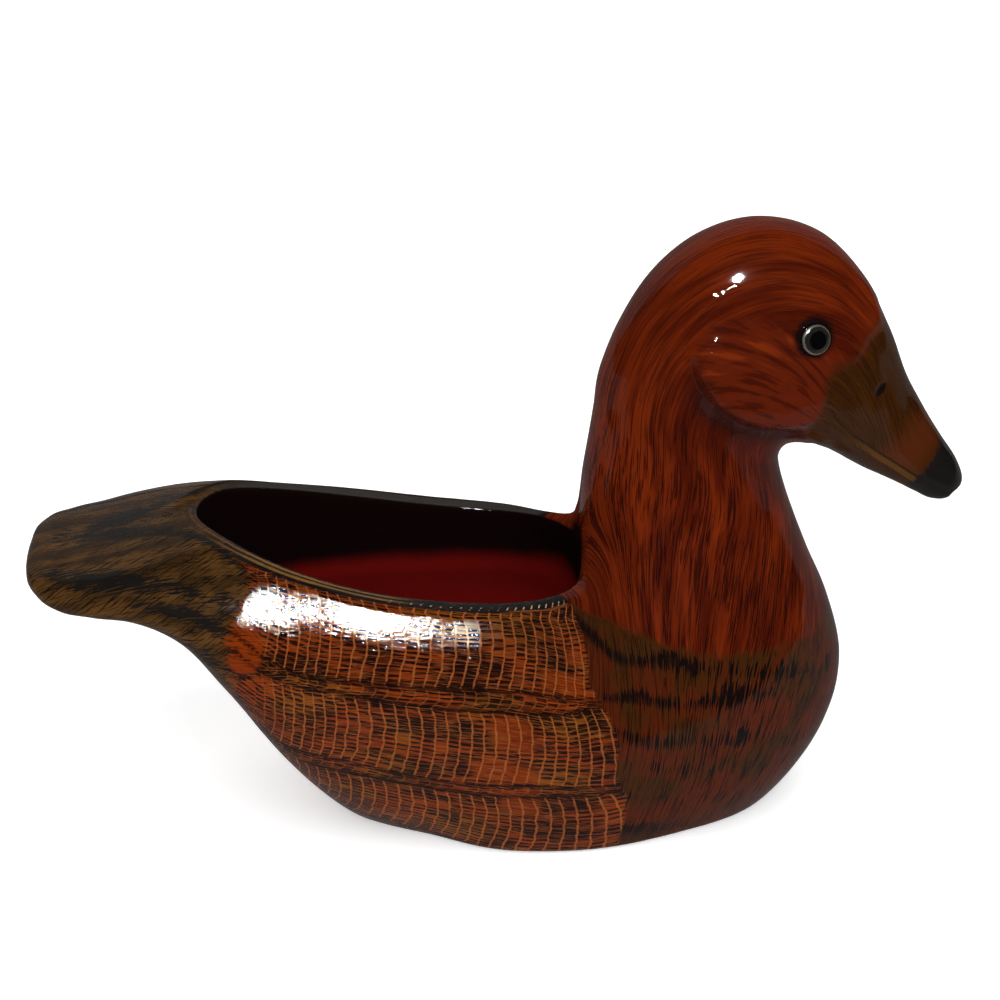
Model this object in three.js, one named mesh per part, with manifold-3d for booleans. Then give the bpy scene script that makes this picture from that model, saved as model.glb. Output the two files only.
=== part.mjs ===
import * as THREE from "three";
import { mergeVertices } from "three/addons/utils/BufferGeometryUtils.js";
import Module from "manifold-3d";

// A carved and lacquered wooden duck that is hollowed out as an open box.
// Millimetres, +Z up. The duck faces +X and its base stands on z = 0.
const wasm = await Module();
wasm.setup();

// Opening of the box, seen from above: an egg whose blunt end is at the neck.
const opening = {
  centreX: -30,
  rearReach: 68,
  frontReach: 57,
  halfWidth: 36,
  rearPower: 2,
  frontPower: 3.5,
  segments: 44,
};

// Line of the rim, which sags between the tail and the neck.
const sheer = { middleX: -37.4, middleZ: 90, span: 65, slope: -12, sag: 7 };
const lip = { extraWidth: 9, endX: 26, rows: 22, top: 130, firstStep: 0.05, crowding: 0.8 };
const cavity = { floorZ: 64, filletRadius: 5, filletSteps: 4, top: 130 };

// Glass eyes, each a short plug with a domed front, set in a round socket.
const eye = {
  x: 98.3,
  z: 168.4,
  surfaceY: 23.9,
  yawDeg: 15.5,
  pitchDeg: 12.4,
  diameter: 10,
  domeHeight: 2.2,
  plugDepth: 3.4,
  proud: 0.5,
  domeSteps: 6,
  gap: 0.3,
  socketDepth: 12,
  segments: 32,
};

// Cheeks that stand proud of the neck. Their lower and rear edge is steep, and toward
// the eye, the crown and the bill they run out into the head.
const cheek = {
  x: 85,
  z: 157,
  tiltDeg: -25,
  length: 32,
  height: 20.5,
  proud: 3.6,
  edgeFrom: 0.72,
  edgeTo: 0.95,
  fadeTowardDeg: 60,
  fadeFrom: -0.35,
  fadeTo: 0.25,
  frontFrom: 90,
  frontTo: 103,
};

// The block that the underside is cut flat with.
const base = { length: 400, width: 200, depth: 60 };

const ringSegments = 40;
const ringSpacing = 5.4;
const shortestGap = 3;
const weldDistance = 1e-4;

// Carving stations from the tail tip, along the back and breast, round to the tip of the bill.
// Each holds the top point, the under point, the half width, the share of the height at which
// the section is widest, and the roundness powers of its upper and lower halves.
const station = (top, under, half, widest, upperPower, lowerPower) => ({
  values: [...top, ...under, half, widest, upperPower, lowerPower],
});
const tail = [
  station([-153.6, 91.4], [-153.6, 88.8], 9, 0.5, 2, 2),
  station([-152.4, 93.4], [-152.4, 86.6], 18.2, 0.5, 2.3, 2.3),
  station([-148.5, 94.9], [-148.5, 83.7], 27.4, 0.5, 2.4, 2.3),
  station([-141.5, 95.9], [-141.5, 80.3], 33.9, 0.5, 2.4, 2.2),
  station([-131, 97.8], [-131, 78.8], 38.2, 0.48, 2.3, 2.1),
  station([-119, 100.5], [-119, 77.6], 42.2, 0.46, 2.2, 2),
  station([-105, 103.4], [-105, 70.4], 46.4, 0.46, 2.2, 2),
];
const back = [
  station([-89, 105.8], [-89, 48], 50.8, 0.48, 2.2, 2),
  station([-71, 105.4], [-71, 20.4], 53.6, 0.55, 2.2, 2.2),
  station([-50, 105.2], [-50, -4.5], 55.6, 0.61, 2.2, 1.96),
  station([-24, 101.8], [-24, -16.4], 57.3, 0.62, 2.2, 2.04),
  station([3, 97.8], [5, -32.6], 58.7, 0.61, 2.2, 2.13),
];
const breast = [
  station([18, 92.5], [36.5, -33], 58, 0.6, 2.2, 2.07),
  station([25, 91.5], [67.8, -22.5], 56.7, 0.58, 2.2, 1.81),
  station([26.2, 95.5], [92.5, -3], 55, 0.56, 2.1, 1.94),
  station([26.8, 100.8], [106.5, 15.1], 52, 0.54, 2, 1.96),
  station([27.4, 106.8], [114.1, 32.5], 47.5, 0.52, 2, 1.95),
  station([28, 113.2], [115.4, 49.3], 42, 0.5, 2, 2),
  station([28.8, 120], [110.8, 67.4], 36, 0.5, 2, 2),
];
const neck = [
  station([29.9, 127.9], [102.6, 86.9], 30.5, 0.5, 2, 2),
  station([31.2, 136.9], [95.4, 106], 27, 0.5, 2, 2),
  station([33.2, 150.5], [92.4, 116.3], 26.4, 0.48, 2, 2),
];
const head = [
  station([38.9, 165.1], [92, 121.4], 26.8, 0.47, 2.15, 2),
  station([48.3, 180.4], [94.6, 125.1], 27.4, 0.46, 2.3, 2),
  station([62.6, 193.4], [101.2, 125], 27.2, 0.45, 2.4, 2.1),
  station([82.8, 199.7], [108.1, 121.6], 25.8, 0.43, 2.4, 2.1),
  station([102.7, 194.9], [114.7, 117.5], 22.8, 0.41, 2.3, 2.1),
  station([117.2, 180.8], [120.1, 114.1], 18.8, 0.4, 2.2, 2.2),
];
const bill = [
  station([126.3, 163.9], [125.2, 111.4], 15.8, 0.41, 2.1, 2.3),
  station([133, 147.3], [130.5, 108.7], 13.8, 0.42, 2.2, 2.4),
  station([139.8, 134.7], [136.4, 105.6], 12.8, 0.43, 2.3, 2.5),
  station([146.3, 124.3], [142.5, 102.8], 12.4, 0.45, 2.3, 2.5),
  station([151.4, 116.5], [147, 103], 11, 0.48, 2.2, 2.4),
  station([153.7, 111], [149.8, 105.5], 7, 0.5, 2, 2),
  station([153.8, 108.7], [152.5, 106.6], 3, 0.5, 2, 2),
];
const stations = [...tail, ...back, ...breast, ...neck, ...head, ...bill].map((s) => s.values);

// Width of the opening at a place along the duck, grown by a margin; zero beyond its ends.
function openingHalfWidth(x, margin) {
  const ahead = x > opening.centreX;
  const reach = (ahead ? opening.frontReach : opening.rearReach) + margin;
  const power = ahead ? opening.frontPower : opening.rearPower;
  const share = Math.min(1, Math.abs(x - opening.centreX) / reach);
  return (opening.halfWidth + margin) * (1 - share ** power) ** (1 / power);
}

function rimHeight(x) {
  const s = (x - sheer.middleX) / sheer.span;
  return sheer.middleZ + sheer.slope * s + sheer.sag * s * s;
}

// Smooth curve through the stations, with tangents weighted by the distance between them.
function blendStations(rows) {
  const gap = rows.slice(1).map((b, i) => {
    const a = rows[i];
    const top = Math.hypot(b[0] - a[0], b[1] - a[1]);
    const under = Math.hypot(b[2] - a[2], b[3] - a[3]);
    return Math.max(shortestGap, (top + under) / 2);
  });
  const slope = gap.map((g, i) => rows[i].map((a, k) => (rows[i + 1][k] - a) / g));
  const tangent = rows.map((row, i) => {
    if (i === 0) return slope[0];
    if (i === gap.length) return slope[gap.length - 1];
    const weight = gap[i] / (gap[i - 1] + gap[i]);
    return row.map((_, k) => weight * slope[i - 1][k] + (1 - weight) * slope[i][k]);
  });
  const out = [];
  gap.forEach((g, i) => {
    const steps = Math.ceil(g / ringSpacing);
    for (let n = 0; n < steps; n++) {
      const u = n / steps;
      const cubic = [
        1 - 3 * u ** 2 + 2 * u ** 3,
        u - 2 * u ** 2 + u ** 3,
        3 * u ** 2 - 2 * u ** 3,
        u ** 3 - u ** 2,
      ];
      out.push(
        rows[i].map(
          (a, k) =>
            cubic[0] * a +
            cubic[1] * g * tangent[i][k] +
            cubic[2] * rows[i + 1][k] +
            cubic[3] * g * tangent[i + 1][k],
        ),
      );
    }
  });
  out.push(rows[rows.length - 1]);
  return out;
}

// How far the cheek stands out of the side of the head at a place in side view.
function cheekRelief(x, z) {
  const tilt = THREE.MathUtils.degToRad(cheek.tiltDeg);
  const toward = THREE.MathUtils.degToRad(cheek.fadeTowardDeg);
  const dx = x - cheek.x;
  const dz = z - cheek.z;
  const along = (dx * Math.cos(tilt) + dz * Math.sin(tilt)) / cheek.length;
  const up = (dz * Math.cos(tilt) - dx * Math.sin(tilt)) / cheek.height;
  const ahead = (dx * Math.cos(toward) + dz * Math.sin(toward)) / cheek.length;
  const inside = 1 - THREE.MathUtils.smoothstep(Math.hypot(along, up), cheek.edgeFrom, cheek.edgeTo);
  const behindBill = 1 - THREE.MathUtils.smoothstep(x, cheek.frontFrom, cheek.frontTo);
  const belowEye = 1 - THREE.MathUtils.smoothstep(ahead, cheek.fadeFrom, cheek.fadeTo);
  return cheek.proud * inside * behindBill * belowEye;
}

// One section: two half superellipses that meet at the widest line.
function sectionRing([topX, topZ, underX, underZ, half, widest, upperPower, lowerPower]) {
  const points = [];
  for (let i = 0; i < ringSegments; i++) {
    const angle = (2 * Math.PI * i) / ringSegments;
    const upper = Math.cos(angle) >= 0;
    const power = 2 / (upper ? upperPower : lowerPower);
    const along = Math.abs(Math.cos(angle)) ** power;
    const across = Math.sign(Math.sin(angle)) * Math.abs(Math.sin(angle)) ** power;
    const share = upper ? widest + (1 - widest) * along : widest * (1 - along);
    const x = underX + (topX - underX) * share;
    const z = underZ + (topZ - underZ) * share;
    points.push([x, half * across + across * cheekRelief(x, z), z]);
  }
  return points;
}

// Closed skin over a row of equal rings, with a fan at each end.
function skinGeometry(rings) {
  const count = rings[0].length;
  const centre = (ring) => [0, 1, 2].map((k) => ring.reduce((sum, p) => sum + p[k], 0) / count);
  const vertices = [...rings.flat(), centre(rings[0]), centre(rings[rings.length - 1])];
  const firstCentre = vertices.length - 2;
  const lastCentre = vertices.length - 1;
  const index = [];
  for (let r = 0; r + 1 < rings.length; r++) {
    for (let i = 0; i < count; i++) {
      const a = r * count + i;
      const b = r * count + ((i + 1) % count);
      index.push(a, a + count, b + count, a, b + count, b);
    }
  }
  const last = (rings.length - 1) * count;
  for (let i = 0; i < count; i++) {
    const next = (i + 1) % count;
    index.push(firstCentre, i, next, lastCentre, last + next, last + i);
  }
  const geometry = new THREE.BufferGeometry();
  geometry.setAttribute("position", new THREE.Float32BufferAttribute(vertices.flat(), 3));
  geometry.setIndex(index);
  return geometry;
}

function toSolid(source) {
  const geometry = source.clone();
  geometry.deleteAttribute("normal");
  geometry.deleteAttribute("uv");
  const merged = mergeVertices(geometry, weldDistance);
  return new wasm.Manifold(
    new wasm.Mesh({
      numProp: 3,
      vertProperties: merged.attributes.position.array,
      triVerts: new Uint32Array(merged.index.array),
    }),
  );
}

function toGeometry(solid) {
  const mesh = solid.getMesh();
  const geometry = new THREE.BufferGeometry();
  geometry.setAttribute("position", new THREE.Float32BufferAttribute(mesh.vertProperties, 3));
  geometry.setIndex(new THREE.BufferAttribute(mesh.triVerts, 1));
  geometry.computeVertexNormals();
  return geometry;
}

// Everything above the rim line, as wide as the dome of the back and ending at the neck.
function lipCutter() {
  const startX = opening.centreX - opening.rearReach - lip.extraWidth;
  const rings = [];
  for (let i = 0; i <= lip.rows; i++) {
    const share = (1 - Math.cos((Math.PI / 2) * (i / lip.rows))) ** lip.crowding;
    const x = startX + lip.firstStep + (lip.endX - startX) * share;
    const y = openingHalfWidth(x, lip.extraWidth);
    rings.push([
      [x, -y, rimHeight(x)],
      [x, -y, lip.top],
      [x, y, lip.top],
      [x, y, rimHeight(x)],
    ]);
  }
  return toSolid(skinGeometry(rings));
}

// The hollow: upright walls and a flat floor with a rounded corner.
function cavityCutter() {
  const levels = [];
  for (let i = 0; i <= cavity.filletSteps; i++) {
    const angle = (Math.PI / 2) * (i / cavity.filletSteps);
    levels.push({
      inset: cavity.filletRadius * (1 - Math.sin(angle)),
      z: cavity.floorZ + cavity.filletRadius * (1 - Math.cos(angle)),
    });
  }
  levels.push({ inset: 0, z: cavity.top });
  const rings = levels.map(({ inset, z }) => {
    const ring = [];
    for (let i = 0; i < opening.segments; i++) {
      const angle = (-2 * Math.PI * i) / opening.segments;
      const ahead = Math.cos(angle) > 0;
      const reach = (ahead ? opening.frontReach : opening.rearReach) - inset;
      const power = 2 / (ahead ? opening.frontPower : opening.rearPower);
      const along = Math.sign(Math.cos(angle)) * Math.abs(Math.cos(angle)) ** power;
      const across = Math.sign(Math.sin(angle)) * Math.abs(Math.sin(angle)) ** power;
      ring.push([opening.centreX + reach * along, (opening.halfWidth - inset) * across, z]);
    }
    return ring;
  });
  return toSolid(skinGeometry(rings));
}

// Turns a shape that is made round +Z at the origin so that +Z points out of one eye.
function placeAtEye(geometry, side) {
  const yaw = THREE.MathUtils.degToRad(eye.yawDeg);
  const pitch = THREE.MathUtils.degToRad(eye.pitchDeg);
  const outward = new THREE.Vector3(
    Math.sin(yaw) * Math.cos(pitch),
    side * Math.cos(yaw) * Math.cos(pitch),
    Math.sin(pitch),
  );
  const turn = new THREE.Quaternion().setFromUnitVectors(new THREE.Vector3(0, 0, 1), outward);
  geometry.applyQuaternion(turn);
  geometry.translate(eye.x, side * eye.surfaceY, eye.z);
  return geometry;
}

function eyeGeometry(side) {
  const radius = eye.diameter / 2;
  const edge = eye.proud - eye.domeHeight;
  const sphere = (radius ** 2 + eye.domeHeight ** 2) / (2 * eye.domeHeight);
  const profile = [new THREE.Vector2(0, -eye.plugDepth), new THREE.Vector2(radius, -eye.plugDepth)];
  const sweep = Math.asin(radius / sphere);
  for (let i = 0; i <= eye.domeSteps; i++) {
    const angle = sweep * (1 - i / eye.domeSteps);
    profile.push(
      new THREE.Vector2(
        i === eye.domeSteps ? 0 : sphere * Math.sin(angle),
        edge + eye.domeHeight - sphere * (1 - Math.cos(angle)),
      ),
    );
  }
  const lathe = new THREE.LatheGeometry(profile, eye.segments);
  lathe.rotateX(Math.PI / 2);
  return placeAtEye(lathe, side);
}

function socketCutter(side) {
  const radius = eye.diameter / 2 + eye.gap;
  const cylinder = new THREE.CylinderGeometry(radius, radius, eye.socketDepth, eye.segments);
  cylinder.rotateX(Math.PI / 2);
  cylinder.translate(0, 0, eye.socketDepth / 2 - eye.plugDepth - eye.gap);
  return toSolid(placeAtEye(cylinder, side));
}

function belowBase() {
  const slab = new THREE.BoxGeometry(base.length, base.width, base.depth);
  slab.translate(0, 0, -base.depth / 2);
  return toSolid(slab);
}

function duckBody() {
  const rings = blendStations(stations).map(sectionRing);
  return toSolid(skinGeometry(rings))
    .subtract(belowBase())
    .subtract(lipCutter())
    .subtract(cavityCutter())
    .subtract(socketCutter(-1))
    .subtract(socketCutter(1));
}

const lacqueredWood = new THREE.MeshStandardMaterial({
  color: 0x7a3a14,
  roughness: 0.25,
  metalness: 0,
});
const eyeGlass = new THREE.MeshStandardMaterial({ color: 0x0c0a09, roughness: 0.08, metalness: 0 });

const duck = new THREE.Group();
function addPiece(name, geometry, material) {
  const mesh = new THREE.Mesh(geometry, material.clone());
  mesh.name = name;
  duck.add(mesh);
}
addPiece("duck_body", toGeometry(duckBody()), lacqueredWood);
addPiece("right_eye", toGeometry(toSolid(eyeGeometry(-1))), eyeGlass);
addPiece("left_eye", toGeometry(toSolid(eyeGeometry(1))), eyeGlass);

export default duck;
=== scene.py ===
import math

import bmesh
import bpy
import numpy as np
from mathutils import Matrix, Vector, noise
from mathutils.bvhtree import BVHTree


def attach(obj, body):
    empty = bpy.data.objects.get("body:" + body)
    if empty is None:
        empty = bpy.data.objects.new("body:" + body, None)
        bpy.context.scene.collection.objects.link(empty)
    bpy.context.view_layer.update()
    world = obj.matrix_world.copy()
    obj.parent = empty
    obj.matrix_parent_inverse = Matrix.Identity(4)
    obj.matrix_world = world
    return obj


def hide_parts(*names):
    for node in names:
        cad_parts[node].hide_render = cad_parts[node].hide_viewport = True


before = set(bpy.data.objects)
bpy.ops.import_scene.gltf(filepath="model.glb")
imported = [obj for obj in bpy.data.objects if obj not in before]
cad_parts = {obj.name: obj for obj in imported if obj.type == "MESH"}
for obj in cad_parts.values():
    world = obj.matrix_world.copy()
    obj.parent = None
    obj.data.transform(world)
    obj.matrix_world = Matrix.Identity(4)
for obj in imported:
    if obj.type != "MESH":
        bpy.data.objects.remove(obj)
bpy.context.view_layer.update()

mm = 0.001


# Sizes of the carving, in millimetres
# Each station: top x and z, under x and z, half width, widest share, upper and lower power
stations = [
    (-153.6, 91.4, -153.6, 88.8, 9, 0.5, 2, 2),
    (-152.4, 93.4, -152.4, 86.6, 18.2, 0.5, 2.3, 2.3),
    (-148.5, 94.9, -148.5, 83.7, 27.4, 0.5, 2.4, 2.3),
    (-141.5, 95.9, -141.5, 80.3, 33.9, 0.5, 2.4, 2.2),
    (-131, 97.8, -131, 78.8, 38.2, 0.48, 2.3, 2.1),
    (-119, 100.5, -119, 77.6, 42.2, 0.46, 2.2, 2),
    (-105, 103.4, -105, 70.4, 46.4, 0.46, 2.2, 2),
    (-89, 105.8, -89, 48, 50.8, 0.48, 2.2, 2),
    (-71, 105.4, -71, 20.4, 53.6, 0.55, 2.2, 2.2),
    (-50, 105.2, -50, -4.5, 55.6, 0.61, 2.2, 1.96),
    (-24, 101.8, -24, -16.4, 57.3, 0.62, 2.2, 2.04),
    (3, 97.8, 5, -32.6, 58.7, 0.61, 2.2, 2.13),
    (18, 92.5, 36.5, -33, 58, 0.6, 2.2, 2.07),
    (25, 91.5, 67.8, -22.5, 56.7, 0.58, 2.2, 1.81),
    (26.2, 95.5, 92.5, -3, 55, 0.56, 2.1, 1.94),
    (26.8, 100.8, 106.5, 15.1, 52, 0.54, 2, 1.96),
    (27.4, 106.8, 114.1, 32.5, 47.5, 0.52, 2, 1.95),
    (28, 113.2, 115.4, 49.3, 42, 0.5, 2, 2),
    (28.8, 120, 110.8, 67.4, 36, 0.5, 2, 2),
    (29.9, 127.9, 102.6, 86.9, 30.5, 0.5, 2, 2),
    (31.2, 136.9, 95.4, 106, 27, 0.5, 2, 2),
    (33.2, 150.5, 92.4, 116.3, 26.4, 0.48, 2, 2),
    (38.9, 165.1, 92, 121.4, 26.8, 0.47, 2.15, 2),
    (48.3, 180.4, 94.6, 125.1, 27.4, 0.46, 2.3, 2),
    (62.6, 193.4, 101.2, 125, 27.2, 0.45, 2.4, 2.1),
    (82.8, 199.7, 108.1, 121.6, 25.8, 0.43, 2.4, 2.1),
    (102.7, 194.9, 114.7, 117.5, 22.8, 0.41, 2.3, 2.1),
    (117.2, 180.8, 120.1, 114.1, 18.8, 0.4, 2.2, 2.2),
    (126.3, 163.9, 125.2, 111.4, 15.8, 0.41, 2.1, 2.3),
    (133, 147.3, 130.5, 108.7, 13.8, 0.42, 2.2, 2.4),
    (139.8, 134.7, 136.4, 105.6, 12.8, 0.43, 2.3, 2.5),
    (146.3, 124.3, 142.5, 102.8, 12.4, 0.45, 2.3, 2.5),
    (151.4, 116.5, 147, 103, 11, 0.48, 2.2, 2.4),
    (153.7, 111, 149.8, 105.5, 7, 0.5, 2, 2),
    (153.8, 108.7, 152.5, 106.6, 3, 0.5, 2, 2),
]

cheek = {
    "x": 85, "z": 157, "tilt": -25, "length": 32, "height": 20.5, "proud": 3.6,
    "edgeFrom": 0.73, "edgeTo": 0.89, "fadeToward": 60, "fadeFrom": -0.35, "fadeTo": 0.25,
    "frontFrom": 90, "frontTo": 103,
}
opening = {
    "centreX": -30, "rearReach": 68, "frontReach": 57, "halfWidth": 36,
    "rearPower": 2, "frontPower": 3.5,
}
sheer = {"middleX": -37.4, "middleZ": 90, "span": 65, "slope": -12, "sag": 7}
lip = {"extraWidth": 9, "endX": 26, "rows": 44, "top": 130, "corner": 3, "roundOver": 2.2, "innerEdge": 1.2,
       "wide": 40, "below": 16}
hollow = {"floorZ": 64, "fillet": 5, "filletSteps": 8, "top": 130, "segments": 200}
skin = {"along": 380, "around": 180, "voxel": 1.3, "smoothing": 3, "footEdge": 1.6}


def smoothStep(values, low, high):
    share = np.clip((values - low) / (high - low), 0, 1)
    return share * share * (3 - 2 * share)


# How far out from the middle of the cheek a place is, and how much of the relief is left there
def cheekShares(x, z):
    tilt = math.radians(cheek["tilt"])
    toward = math.radians(cheek["fadeToward"])
    dx = x - cheek["x"]
    dz = z - cheek["z"]
    along = (dx * math.cos(tilt) + dz * math.sin(tilt)) / cheek["length"]
    up = (dz * math.cos(tilt) - dx * math.sin(tilt)) / cheek["height"]
    ahead = (dx * math.cos(toward) + dz * math.sin(toward)) / cheek["length"]
    behindBill = 1 - smoothStep(x, cheek["frontFrom"], cheek["frontTo"])
    belowEye = 1 - smoothStep(ahead, cheek["fadeFrom"], cheek["fadeTo"])
    return np.hypot(along, up), behindBill * belowEye


def cheekRelief(x, z):
    ring, left = cheekShares(x, z)
    return cheek["proud"] * left * (1 - smoothStep(ring, cheek["edgeFrom"], cheek["edgeTo"]))


def rimHeight(x):
    share = (x - sheer["middleX"]) / sheer["span"]
    return sheer["middleZ"] + sheer["slope"] * share + sheer["sag"] * share * share


def openingHalfWidth(x, margin):
    ahead = x > opening["centreX"]
    reach = np.where(ahead, opening["frontReach"], opening["rearReach"]) + margin
    power = np.where(ahead, opening["frontPower"], opening["rearPower"])
    share = np.clip(np.abs(x - opening["centreX"]) / reach, 0, 1)
    return (opening["halfWidth"] + margin) * (1 - share**power) ** (1 / power)


# Smooth run through the stations: the values at any distance along the carving
stationRows = np.array(stations, float)
stationSteps = np.diff(stationRows, axis=0)
stationGaps = np.maximum(3, (np.hypot(stationSteps[:, 0], stationSteps[:, 1])
                             + np.hypot(stationSteps[:, 2], stationSteps[:, 3])) / 2)
stationPlaces = np.concatenate([[0], np.cumsum(stationGaps)])
fullLength = stationPlaces[-1]


def stationValues(along):
    slope = stationSteps / stationGaps[:, None]
    tangent = np.vstack([slope[:1], slope])
    weight = (stationGaps[1:] / (stationGaps[1:] + stationGaps[:-1]))[:, None]
    tangent[1:-1] = weight * slope[:-1] + (1 - weight) * slope[1:]
    index = np.clip(np.searchsorted(stationPlaces, along, side="right") - 1, 0, len(stationGaps) - 1)
    gap = stationGaps[index][..., None]
    u = (along - stationPlaces[index])[..., None] / gap
    return (
        (1 - 3 * u**2 + 2 * u**3) * stationRows[index]
        + (u - 2 * u**2 + u**3) * gap * tangent[index]
        + (3 * u**2 - 2 * u**3) * stationRows[index + 1]
        + (u**3 - u**2) * gap * tangent[index + 1]
    )


# Points of the uncut carving, from the distance along it and the angle round its section
def carvingPoints(along, angle):
    values = stationValues(along)
    topX, topZ, underX, underZ, half, widest, upper, lower = (values[..., k] for k in range(8))
    isUpper = np.cos(angle) >= 0
    power = 2 / np.where(isUpper, upper, lower)
    rise = np.abs(np.cos(angle)) ** power
    across = np.sign(np.sin(angle)) * np.abs(np.sin(angle)) ** power
    share = np.where(isUpper, widest + (1 - widest) * rise, widest * (1 - rise))
    x = underX + (topX - underX) * share
    z = underZ + (topZ - underZ) * share
    y = across * (half + cheekRelief(x, z))
    return np.stack([x, y, z], axis=-1)


# A grid of them, with the distance along and the distance round from the top line
def carvingGrid():
    along = np.linspace(0, fullLength, skin["along"])[:, None] * np.ones(skin["around"] + 1)
    angle = np.linspace(-math.pi, math.pi, skin["around"] + 1) * np.ones((skin["along"], 1))
    points = carvingPoints(along, angle)
    points[:, (0, -1), 1] = 0
    steps = np.linalg.norm(np.diff(points, axis=1), axis=2)
    girth = np.concatenate([np.zeros((skin["along"], 1)), np.cumsum(steps, axis=1)], axis=1)
    return points, along, girth - girth[:, skin["around"] // 2][:, None]


def linkMesh(name, mesh):
    piece = bpy.data.objects.new(name, mesh)
    bpy.context.scene.collection.objects.link(piece)
    return piece


def finishMesh(name, bm):
    mesh = bpy.data.meshes.new(name)
    bm.to_mesh(mesh)
    bm.free()
    return linkMesh(name, mesh)


# A grid of points made into a closed skin: its seam is welded and its open ends are filled
def skinFromGrid(name, points):
    rows, columns = points.shape[:2]
    bm = bmesh.new()
    bmesh.ops.create_grid(bm, x_segments=columns - 1, y_segments=rows - 1, size=1)
    for vert in bm.verts:
        column = round((vert.co.x + 1) / 2 * (columns - 1))
        row = round((vert.co.y + 1) / 2 * (rows - 1))
        vert.co = points[row, column] * mm
    bmesh.ops.remove_doubles(bm, verts=bm.verts, dist=2e-6)
    bmesh.ops.holes_fill(bm, edges=[e for e in bm.edges if e.is_boundary])
    bmesh.ops.triangulate(bm, faces=[f for f in bm.faces if len(f.verts) > 4])
    bmesh.ops.recalc_face_normals(bm, faces=bm.faces)
    return finishMesh(name, bm)


def lipGrid():
    startX = opening["centreX"] - opening["rearReach"] - lip["extraWidth"]
    rows = []
    for step in range(lip["rows"] + 1):
        share = 1 - math.cos(math.pi / 2 * (step + 0.5) / (lip["rows"] + 0.5))
        x = startX + (lip["endX"] - startX) * share
        y = openingHalfWidth(x, lip["extraWidth"])
        low = rimHeight(x)
        rows.append([(x, -y, low), (x, y, low), (x, y, lip["top"]), (x, -y, lip["top"]), (x, -y, low)])
    return np.array(rows)


def openingLoop(inset, count):
    angle = np.linspace(0, 2 * math.pi, count + 1)
    cosine, sine = np.cos(angle), np.sin(angle)
    ahead = cosine > 0
    power = 2 / np.where(ahead, opening["frontPower"], opening["rearPower"])
    reach = np.where(ahead, opening["frontReach"], opening["rearReach"]) - inset
    x = opening["centreX"] + reach * np.sign(cosine) * np.abs(cosine) ** power
    y = (opening["halfWidth"] - inset) * np.sign(sine) * np.abs(sine) ** power
    y[0] = 0
    y[-1] = 0
    return x, y


def hollowGrid():
    levels = [(opening["frontReach"], hollow["floorZ"])]
    for step in range(hollow["filletSteps"] + 1):
        angle = math.pi / 2 * step / hollow["filletSteps"]
        inset = hollow["fillet"] * (1 - math.sin(angle))
        levels.append((inset, hollow["floorZ"] + hollow["fillet"] * (1 - math.cos(angle))))
    levels.append((0, hollow["top"]))
    rows = []
    for inset, z in levels:
        x, y = openingLoop(inset, hollow["segments"])
        rows.append(np.stack([x, y, np.full_like(x, z)], axis=1))
    rows[0][:, :2] = (opening["centreX"], 0)
    return np.array(rows)


def applyModifiers(piece):
    dressed = piece.evaluated_get(bpy.context.evaluated_depsgraph_get())
    mesh = bpy.data.meshes.new_from_object(dressed)
    old = piece.data
    piece.modifiers.clear()
    piece.data = mesh
    bpy.data.meshes.remove(old)


def cutAway(piece, cutter):
    cut = piece.modifiers.new("cut", "BOOLEAN")
    cut.operation = "DIFFERENCE"
    cut.solver = "EXACT"
    cut.object = cutter
    applyModifiers(piece)
    mesh = cutter.data
    bpy.data.objects.remove(cutter)
    bpy.data.meshes.remove(mesh)


# Steps over which the slopes of the skin are taken, and how far from its end they stop
nudge = {"along": 0.05, "angle": 0.002, "beforeEnd": 0.06, "rounds": 4}


# Where each vertex lies on the uncut carving, found on a coarse skin and then refined
def placeOnSkin(points, tree, columns):
    count = len(points)
    row = np.zeros(count)
    column = np.zeros(count)
    for k, point in enumerate(points):
        face = tree.find_nearest(Vector(point))[2]
        row[k], column[k] = divmod(face, columns)
    alongStep = fullLength / (skin["along"] - 1)
    angleStep = 2 * math.pi / skin["around"]
    along = (row + 0.5) * alongStep
    angle = (column + 0.5) * angleStep - math.pi
    for turn in range(nudge["rounds"]):
        here = carvingPoints(along, angle)
        ahead = carvingPoints(np.minimum(along + nudge["along"], fullLength), angle)
        beside = carvingPoints(along, angle + nudge["angle"])
        du = (ahead - here) / nudge["along"]
        dv = (beside - here) / nudge["angle"]
        gap = points - here
        a = (du * du).sum(1) + 1e-9
        b = (du * dv).sum(1)
        c = (dv * dv).sum(1) + 1e-9
        p = (gap * du).sum(1)
        q = (gap * dv).sum(1)
        det = np.maximum(a * c - b * b, 1e-6 * a * c)
        along = along + np.clip((p * c - q * b) / det, -alongStep, alongStep)
        along = np.clip(along, 0, fullLength - nudge["beforeEnd"])
        angle = angle + np.clip((q * a - p * b) / det, -angleStep, angleStep)
        angle = np.clip(angle, -math.pi, math.pi)
    normal = np.cross(dv, du)
    normal = normal / np.maximum(np.linalg.norm(normal, axis=1, keepdims=True), 1e-9)
    middle = carvingPoints(along, np.zeros(count)) + carvingPoints(along, np.full(count, math.pi))
    facing = np.sign(((here - middle / 2) * normal).sum(1))
    normal = normal * np.where(facing == 0, 1, facing)[:, None]
    return along, angle, here, normal


def smoothMax(first, second, width):
    overlap = np.maximum(width - np.abs(first - second), 0) / width
    share = np.where(first > second, 1 - overlap / 2, overlap / 2)
    return np.maximum(first, second) + overlap * overlap * width / 4, share


def blendNormals(share, first, second):
    return first * share[:, None] + second * (1 - share)[:, None]


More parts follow.
